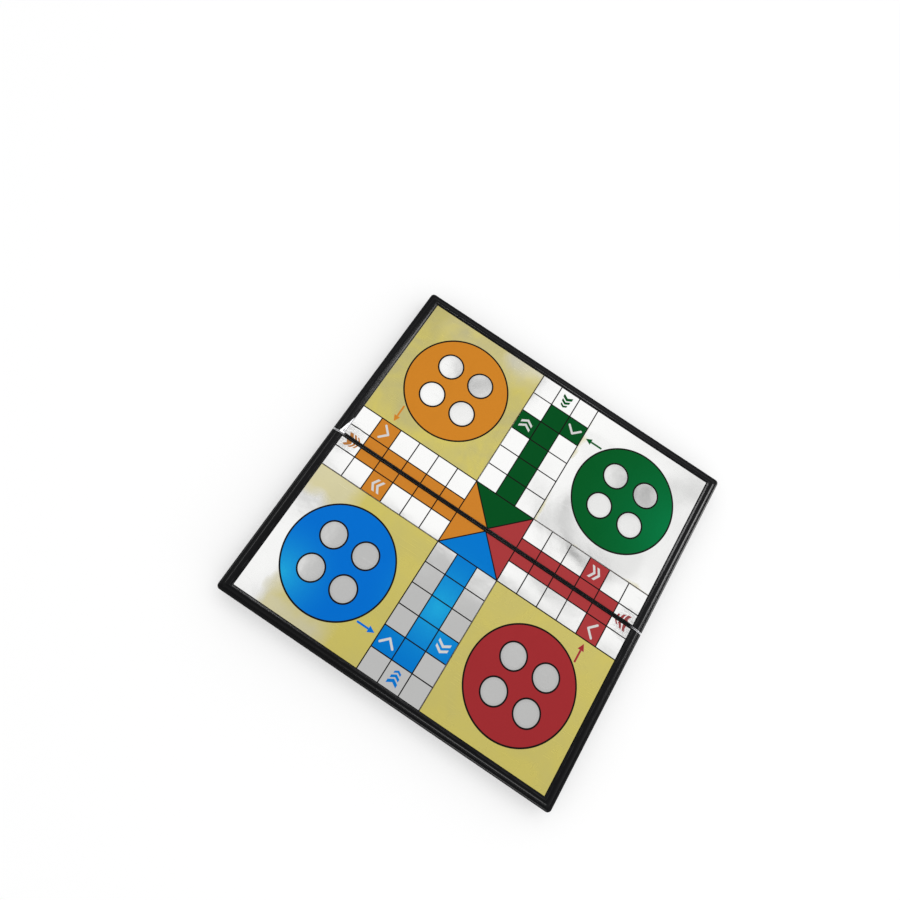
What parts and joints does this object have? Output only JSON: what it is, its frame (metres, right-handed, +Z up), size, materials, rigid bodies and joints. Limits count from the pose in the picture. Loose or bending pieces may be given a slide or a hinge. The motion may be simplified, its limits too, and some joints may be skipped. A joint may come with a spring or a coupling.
{
  "type": "folding ludo board box",
  "caption": "Square ludo board of hinged hollow black shells with printed foil playing faces; it folds face-outwards into a flat box that stores its pieces.",
  "frame": {"origin": "centre of the open board's underside, where it rests", "axes": "+Z up, +X along the hinge line, +Y towards the orange and green half"},
  "size_m": [0.25, 0.25, 0.017],
  "materials": {
    "shell_plastic": "black moulded ABS, satin gloss",
    "label_foil": "printed metallised film, glossy silver",
    "sheet_steel": "tinned sheet, plain",
    "pin_steel": "drawn wire, bright"
  },
  "bodies": {
    "fixed_half": {"shell_orange_green": "shell_plastic", "label_orange_green": "label_foil", "steel_sheet_orange_green": "sheet_steel", "hinge_pin_left": "pin_steel", "hinge_pin_right": "pin_steel"},
    "folding_half": {"shell_blue_red": "shell_plastic", "label_blue_red": "label_foil", "steel_sheet_blue_red": "sheet_steel"}
  },
  "joints": [
    {"name": "fold", "type": "hinge", "parent": "fixed_half", "child": "folding_half", "pos_m": [0, 0, 0.0022], "axis": [1, 0, 0], "range_deg": [0, 180]}
  ]
}
